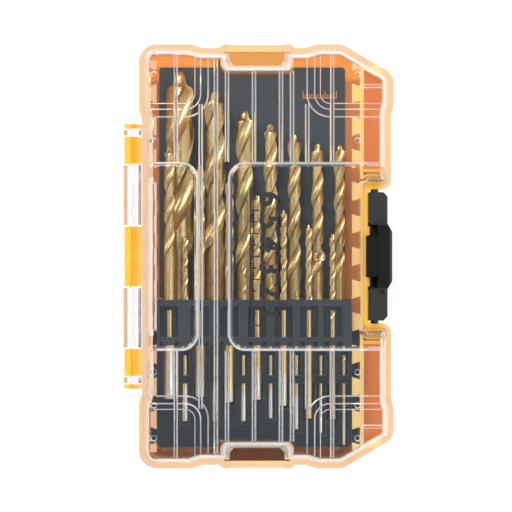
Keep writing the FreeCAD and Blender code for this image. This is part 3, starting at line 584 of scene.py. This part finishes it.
# Diameter in inches, fluted length and shank diameter in mm, and the Y where the coating ends
BITS = {
    "bit_large": [
        (1 / 2, 80, 9.5, -90), (3 / 8, 76, 9.475, -90), (5 / 16, 72, 7.89, -90), (1 / 4, 66, 6.3, -90),
        (15 / 64, 66, 5.9, -90), (7 / 32, 63, 5.5, -90), (13 / 64, 62, 5.1, -90),
    ],
    "bit_medium": [
        (3 / 16, 50, 4.71, -42), (11 / 64, 47, 4.31, -50), (5 / 32, 45, 3.92, -60), (9 / 64, 42, 3.52, -52),
        (1 / 8, 40, 3.12, -53), (1 / 8, 40, 3.12, -80), (7 / 64, 41, 2.73, -53),
    ],
    "bit_small": [
        (7 / 64, 34, 2.73, -58), (3 / 32, 32, 2.33, -60), (3 / 32, 30, 2.33, -60), (5 / 64, 28, 1.93, -60),
        (5 / 64, 28, 1.93, -62), (1 / 16, 27, 1.54, -64), (1 / 16, 27, 1.54, -68),
    ],
}
# Section, in shares of the bit's radius: land, flute, and the flute's distance from the axis,
# with what is added to it where the flute runs out
LAND = 0.955
FLUTE_RADIUS = 0.84
FLUTE_CENTRE = 1.04
FLUTE_LIFT = 0.75
FLUTE_STEPS = 11
LAND_STEPS = 6
# Share of a land that is margin, and the places of the margin's two corners on it
MARGIN_SHARE = 0.16
MARGIN_CORNERS = (0.15, 0.6)
# Shares of the diameter: pitch of the twist, run-out of the flutes, length of the point
TWIST_PITCH = 6.2
RUN_OUT = 1.4
POINT_LENGTH = 0.7
# Depth of the flutes where they begin, as a share of their full depth
FIRST_DEPTH = 0.03
RINGS_PER_TURN = 30
FEWEST_RINGS = 12
# Rounded end of the shank: its size as a share of the shank's diameter, and the shares of that
# size by which its rings lie inside the shank and above its end
SHANK_EDGE = 0.12
SHANK_END = ((1.0, 0.0), (0.3, 0.25), (0.0, 1.0))
SHANK_STEPS = 6
# Distance from the shank's last ring to the flutes, as a share of the radius
NECK = 0.4
# Stepped point above the shoulder: share of the radius, rise as a share of the diameter
POINT_STEPS = ((0.98, 0.03), (0.94, 0.10), (0.60, 0.22), (0.54, 0.26), (0.51, 0.46), (0.46, 0.56),
               (0.32, 0.64), (0.08, 0.68))
# Edges that turn by more than this are shaded sharp (degrees)
CREASE_ANGLE = 38


def drill_section(depth):
    """Outline of a two-flute section of unit radius as (radius, angle), with a margin on each land."""
    centre = FLUTE_CENTRE + FLUTE_LIFT * (1 - depth)

    def half_flute(radius):
        cosine = (radius ** 2 + centre ** 2 - FLUTE_RADIUS ** 2) / (2 * radius * centre)
        return math.acos(min(1.0, cosine))

    lead = half_flute(1.0)
    heel = half_flute(LAND)
    first = math.atan2(-math.sin(lead), math.cos(lead) - centre)
    last = math.atan2(LAND * math.sin(heel), LAND * math.cos(heel) - centre) - 2 * math.pi
    margin = MARGIN_SHARE * (math.pi - lead - heel)
    land_end = math.pi - lead - margin
    points = []
    for side in (0, math.pi):
        for i in range(FLUTE_STEPS + 1):
            angle = first + (last - first) * i / FLUTE_STEPS
            x = centre + FLUTE_RADIUS * math.cos(angle)
            y = FLUTE_RADIUS * math.sin(angle)
            points.append((math.hypot(x, y), math.atan2(y, x) + side))
        for i in range(1, LAND_STEPS + 1):
            points.append((LAND, heel + (land_end - heel) * i / LAND_STEPS + side))
        for corner in MARGIN_CORNERS:
            points.append((1.0, land_end + margin * corner + side))
    return points


def drill_rings(diameter, length, flutes, shank):
    """Rings of (radius, angle, height) from the shank end to the point, in mm."""
    radius = diameter / 2
    pitch = TWIST_PITCH * diameter
    start = length - flutes
    shoulder = length - POINT_LENGTH * diameter
    shank_section = drill_section(FIRST_DEPTH)

    def plain(ring_radius, height):
        return [(ring_radius, angle, height) for _, angle in shank_section]

    def fluted(ring_radius, depth, height):
        turn = 2 * math.pi * (height - start) / pitch
        return [(share * ring_radius, angle + turn, height) for share, angle in drill_section(depth)]

    edge = SHANK_EDGE * shank
    rings = [plain(shank / 2 - inset * edge, rise * edge) for inset, rise in SHANK_END]
    straight = start - NECK * radius - edge
    rings += [plain(shank / 2, edge + straight * k / SHANK_STEPS) for k in range(1, SHANK_STEPS + 1)]
    count = max(FEWEST_RINGS, math.ceil((shoulder - start) / pitch * RINGS_PER_TURN))
    for i in range(count + 1):
        height = start + (shoulder - start) * i / count
        depth = FIRST_DEPTH + (1 - FIRST_DEPTH) * (height - start) / (RUN_OUT * diameter)
        rings.append(fluted(radius, min(1.0, depth), height))
    for share, rise in POINT_STEPS:
        rings.append(fluted(radius * share, 1.0, shoulder + rise * diameter))
    return rings


def add_mesh(name, bm, mat):
    """New object of one material from a bmesh."""
    mesh = bpy.data.meshes.new(name)
    bm.to_mesh(mesh)
    bm.free()
    mesh.materials.append(mat)
    obj = bpy.data.objects.new(name, mesh)
    scene.collection.objects.link(obj)
    return obj


def skin(name, rings, place, mat):
    """Closed mesh over the rings, with its edges sharp where it turns."""
    bm = bmesh.new()
    rows = []
    for ring in rings:
        row = []
        for radius, angle, height in ring:
            point = Vector((radius * math.cos(angle), height, -radius * math.sin(angle)))
            row.append(bm.verts.new(point * MM + place))
        rows.append(row)
    count = len(rows[0])
    for low, high in zip(rows, rows[1:]):
        for i in range(count):
            j = (i + 1) % count
            bm.faces.new((low[i], high[i], high[j], low[j]))
    for row, flip in ((rows[0], False), (rows[-1], True)):
        hub = bm.verts.new(sum((v.co for v in row), Vector()) / count)
        for i in range(count):
            j = (i + 1) % count
            bm.faces.new((row[j], row[i], hub) if flip else (row[i], row[j], hub))
    bmesh.ops.recalc_face_normals(bm, faces=bm.faces)
    for face in bm.faces:
        face.smooth = True
    for edge in bm.edges:
        edge.smooth = edge.calc_face_angle(0.0) < math.radians(CREASE_ANGLE)
    return add_mesh(name, bm, mat)


for family, bits in BITS.items():
    for number, (inches, flutes, shank, coating_end) in enumerate(bits, 1):
        node = f"{family}_{number}"
        low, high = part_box(node)
        foot = Vector(((low[0] + high[0]) / 2, low[1], (low[2] + high[2]) / 2))
        length = (high[1] - low[1]) / MM
        rings = drill_rings(INCH * inches, length, flutes, shank)
        piece = skin(f"twist_{node}", rings, foot, coated_steel(f"coated_{node}", coating_end))
        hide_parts(node)
        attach(piece, node)


# Generic prints: a plain length scale in the lid's raised frame and a ruled line on the card

DARK_INK = ((0.008, 0.009, 0.010), (0.014, 0.015, 0.017))
ORANGE_INK = ((0.55, 0.20, 0.05), (0.66, 0.27, 0.08))
INK_ROUGHNESS = (0.4, 0.6)
# Length scale on the lid, in mm
SCALE_LEFT = -1.9 + SHIFT_X
SCALE_RIGHT = 11.4 + SHIFT_X
SCALE_Z = (36.41, 36.47)
SCALE_STEP = 10.0
SCALE_STEPS = 6
SCALE_LINE = 0.5
NUMBER_SIZE = 13.0
NUMBER_PLACE = 8.6
NUMBER_WEIGHT = 0.4
# Ruled line on the card, in mm
RULE_LEFT = 22.0 + SHIFT_X
RULE_LENGTH = 15
RULE_Y = 71.0
RULE_Z = (2.51, 2.56)
RULE_LINE = 0.5
RULE_LONG_TICK = 3.4
# Ticks every millimetre, longer every 5 and 10: length and half of the width, in mm
TICK = 1.9
TICK_5 = 3.0
TICK_10 = 4.2
HALF_TICK = 0.18
HALF_TICK_5 = 0.3


def ink(name, tones):
    """Flat printing ink with slightly uneven cover."""
    mat, tree, shader = material(name)
    cover = noise(tree, position(tree), scale=900.0)
    tree.links.new(mottled(tree, cover, tones), shader.inputs["Base Color"])
    tree.links.new(spread(tree, cover, *INK_ROUGHNESS), shader.inputs["Roughness"])
    return mat


def plates(name, boxes, mat):
    """One mesh of thin flat plates, each (x0, x1, y0, y1, z0, z1) in mm."""
    bm = bmesh.new()
    for x0, x1, y0, y1, z0, z1 in boxes:
        middle = Vector((x0 + x1, y0 + y1, z0 + z1)) / 2
        size = Vector((x1 - x0, y1 - y0, z1 - z0))
        for vert in bmesh.ops.create_cube(bm, size=1.0)["verts"]:
            vert.co = (middle + vert.co * size) * MM
    return add_mesh(name, bm, mat)


def scale_numbers(mat):
    """Plain numbers of the scale, read with the hinge at the bottom."""
    pieces = []
    for k in range(SCALE_STEPS):
        curve = bpy.data.curves.new(f"scale_number_{k + 1}", "FONT")
        curve.body = str(SCALE_STEPS - k)
        curve.size = NUMBER_SIZE * MM
        curve.offset = NUMBER_WEIGHT * MM
        curve.extrude = (SCALE_Z[1] - SCALE_Z[0]) / 2 * MM
        curve.align_x = "CENTER"
        curve.align_y = "CENTER"
        obj = bpy.data.objects.new(f"scale_number_{k + 1}", curve)
        y = SCALE_STEP * ((SCALE_STEPS - 1) / 2 - k)
        obj.location = Vector((SCALE_LEFT + NUMBER_PLACE, y, sum(SCALE_Z) / 2)) * MM
        obj.rotation_euler = (0, 0, -math.pi / 2)
        obj.data.materials.append(mat)
        scene.collection.objects.link(obj)
        pieces.append(obj)
    return pieces


def length_scale(mat):
    """Ruler along the raised frame: a base line with ticks, and a line along the far side."""
    half = SCALE_STEP * SCALE_STEPS / 2
    boxes = [(SCALE_LEFT, SCALE_LEFT + SCALE_LINE, -half, half, *SCALE_Z)]
    for k in range(int(2 * half) + 1):
        reach = TICK_10 if k % 10 == 0 else TICK_5 if k % 5 == 0 else TICK
        half_line = HALF_TICK_5 if k % 5 == 0 else HALF_TICK
        y = k - half
        boxes.append((SCALE_LEFT, SCALE_LEFT + reach, y - half_line, y + half_line, *SCALE_Z))
    boxes.append((SCALE_RIGHT - SCALE_LINE, SCALE_RIGHT, -half, half, *SCALE_Z))
    return plates("length_scale", boxes, mat)


def card_rule(mat):
    """Ruled line with ticks near the top of the card."""
    boxes = [(RULE_LEFT, RULE_LEFT + RULE_LENGTH, RULE_Y, RULE_Y + RULE_LINE, *RULE_Z)]
    for k in range(RULE_LENGTH + 1):
        reach = RULE_LONG_TICK if k % 5 == 0 else TICK
        x = RULE_LEFT + k
        boxes.append((x - HALF_TICK, x + HALF_TICK, RULE_Y, RULE_Y + reach, *RULE_Z))
    return plates("card_rule", boxes, mat)


dark_ink = ink("dark_ink", DARK_INK)
for piece in [length_scale(dark_ink)] + scale_numbers(dark_ink):
    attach(piece, "lid")
rule = card_rule(ink("orange_ink", ORANGE_INK))
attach(rule, "base")


# Floor, light and camera

# Width of the floor and its height under the case, in metres
FLOOR_SIZE = 6.0
FLOOR_Z = -0.0002
FLOOR_TONES = ((0.24, 0.24, 0.24), (0.27, 0.27, 0.27))
FLOOR_ROUGHNESS = 0.8
FLOOR_GLOW = 0.8
WHITE = (1.0, 1.0, 1.0)
SKY_STRENGTH = 0.95
# Sky colours by height, from the horizon to nearly overhead
SKY = ((0.0, WHITE), (0.55, WHITE), (0.86, (0.62, 0.64, 0.66)), (0.97, (0.10, 0.105, 0.11)))
LIGHT_TARGET = (0, 0, 0.02)
# Width of the picture in pixels, and of the sensor and a pixel at the rim in mm
PICTURE = 512
SENSOR = 36.0
PIXEL = 0.44
# Height of the rim, the camera's distance from it and the nearest thing that it sees, in metres
RIM_Z = 0.025
RIM_DISTANCE = 0.950
NEAREST = 0.01
# Middle of the picture on the object, in mm
MIDDLE_X = 2 * PIXEL + SHIFT_X
MIDDLE_Y = 0.18


def pale_floor():
    """Plain floor, which glows a little so that clear pieces stand against white."""
    mat, tree, shader = material("pale_floor")
    grain = noise(tree, position(tree), scale=40.0, detail=3.0)
    tree.links.new(mottled(tree, grain, FLOOR_TONES), shader.inputs["Base Color"])
    shader.inputs["Roughness"].default_value = FLOOR_ROUGHNESS
    shader.inputs["Emission Color"].default_value = (*WHITE, 1.0)
    shader.inputs["Emission Strength"].default_value = FLOOR_GLOW
    half = FLOOR_SIZE / 2
    bm = bmesh.new()
    corners = ((-half, -half), (half, -half), (half, half), (-half, half))
    bm.faces.new([bm.verts.new((x, y, FLOOR_Z)) for x, y in corners])
    return add_mesh("floor", bm, mat)


def studio_world():
    """Soft white tent: bright all round, dim right overhead."""
    world = bpy.data.worlds.new("studio")
    world.use_nodes = True
    tree = world.node_tree
    sky = tree.nodes["Background"]
    coords = tree.nodes.new("ShaderNodeTexCoord")
    split = tree.nodes.new("ShaderNodeSeparateXYZ")
    tree.links.new(coords.outputs["Generated"], split.inputs["Vector"])
    tree.links.new(ramp(tree, split.outputs["Z"], SKY), sky.inputs["Color"])
    sky.inputs["Strength"].default_value = SKY_STRENGTH
    return world


def area_light(name, place, size, power):
    """Soft square light that points at the object; metres and watts."""
    data = bpy.data.lights.new(name, "AREA")
    data.shape = "RECTANGLE"
    data.size = size
    data.size_y = size
    data.energy = power
    obj = bpy.data.objects.new(name, data)
    obj.location = place
    obj.rotation_euler = (Vector(LIGHT_TARGET) - Vector(place)).to_track_quat("-Z", "Y").to_euler()
    scene.collection.objects.link(obj)


def top_camera():
    """Camera straight above, as far off as the photograph's perspective asks."""
    data = bpy.data.cameras.new("camera")
    data.sensor_width = SENSOR
    data.lens = SENSOR * RIM_DISTANCE / (PICTURE * PIXEL * MM)
    data.clip_start = NEAREST
    obj = bpy.data.objects.new("camera", data)
    obj.location = (MIDDLE_X * MM, MIDDLE_Y * MM, RIM_Z + RIM_DISTANCE)
    scene.collection.objects.link(obj)
    return obj


pale_floor()
scene.world = studio_world()
area_light("key", place=(-0.30, 0.55, 1.05), size=0.50, power=7.0)
area_light("fill", place=(0.62, -0.25, 1.05), size=0.45, power=3.0)
scene.camera = top_camera()

scene.view_settings.view_transform = "Standard"
scene.view_settings.look = "None"
# Enough bounces for the light to get in and out through the lid, its ribs and the base
scene.cycles.max_bounces = 14
scene.cycles.transmission_bounces = 14
scene.cycles.transparent_max_bounces = 14
scene.cycles.diffuse_bounces = 4
scene.cycles.glossy_bounces = 6
